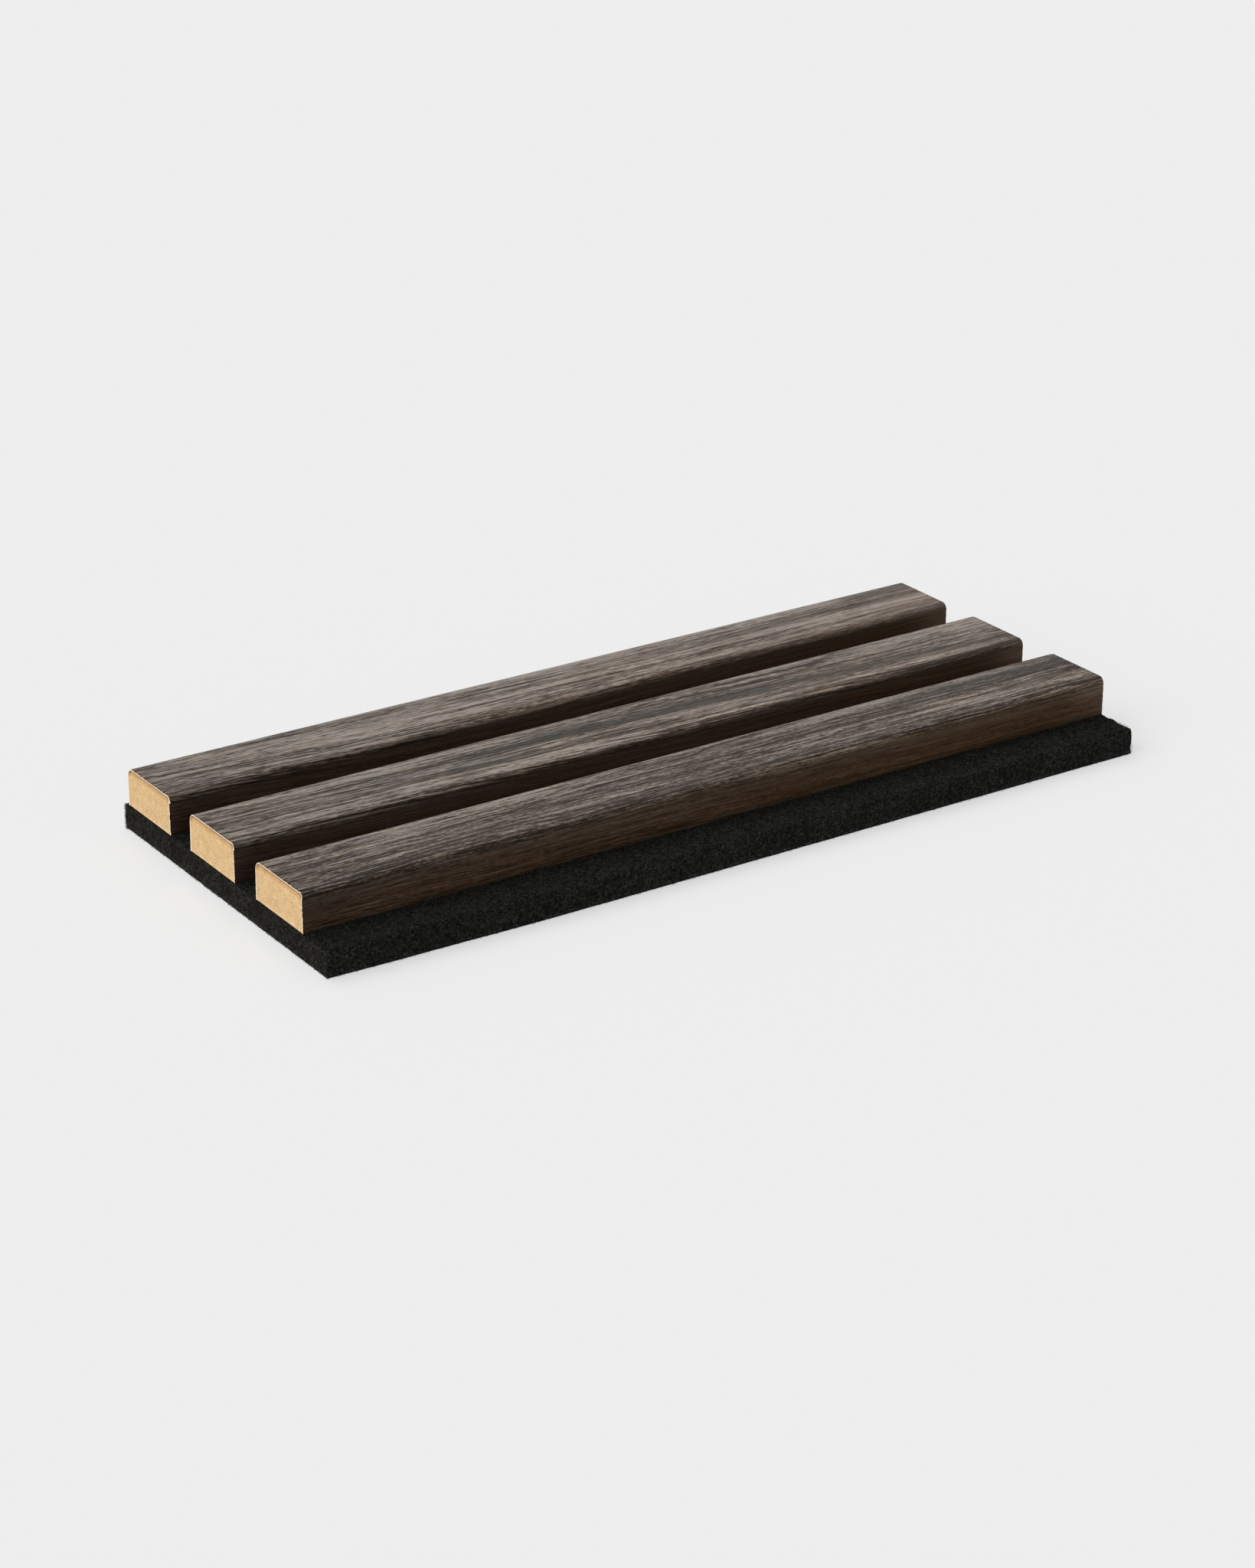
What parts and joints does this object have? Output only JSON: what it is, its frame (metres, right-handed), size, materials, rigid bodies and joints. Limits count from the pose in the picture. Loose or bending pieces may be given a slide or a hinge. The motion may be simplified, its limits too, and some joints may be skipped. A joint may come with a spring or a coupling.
{
  "type": "acoustic slat wall panel",
  "caption": "Sample length of acoustic wall panel: wood-look fibreboard slats with rounded top edges, evenly spaced on a thick dark felt backing.",
  "frame": {"origin": "centre of the felt's flat back face", "axes": "+X along the slats, +Y across them away from the wide bare strip of felt, +Z out of the wall, towards the slats"},
  "size_m": [0.29, 0.123, 0.021],
  "materials": {
    "felt": "needle-punched fibre",
    "fibreboard": "sawn",
    "wood_foil": "satin, embossed grain",
    "staple_steel": "satin"
  },
  "bodies": {
    "root": {"back_staples": "staple_steel", "felt_backing": "felt", "slat_core_back": "fibreboard", "slat_core_front": "fibreboard", "slat_core_middle": "fibreboard", "slat_wrap_back": "wood_foil", "slat_wrap_front": "wood_foil", "slat_wrap_middle": "wood_foil"}
  },
  "joints": []
}
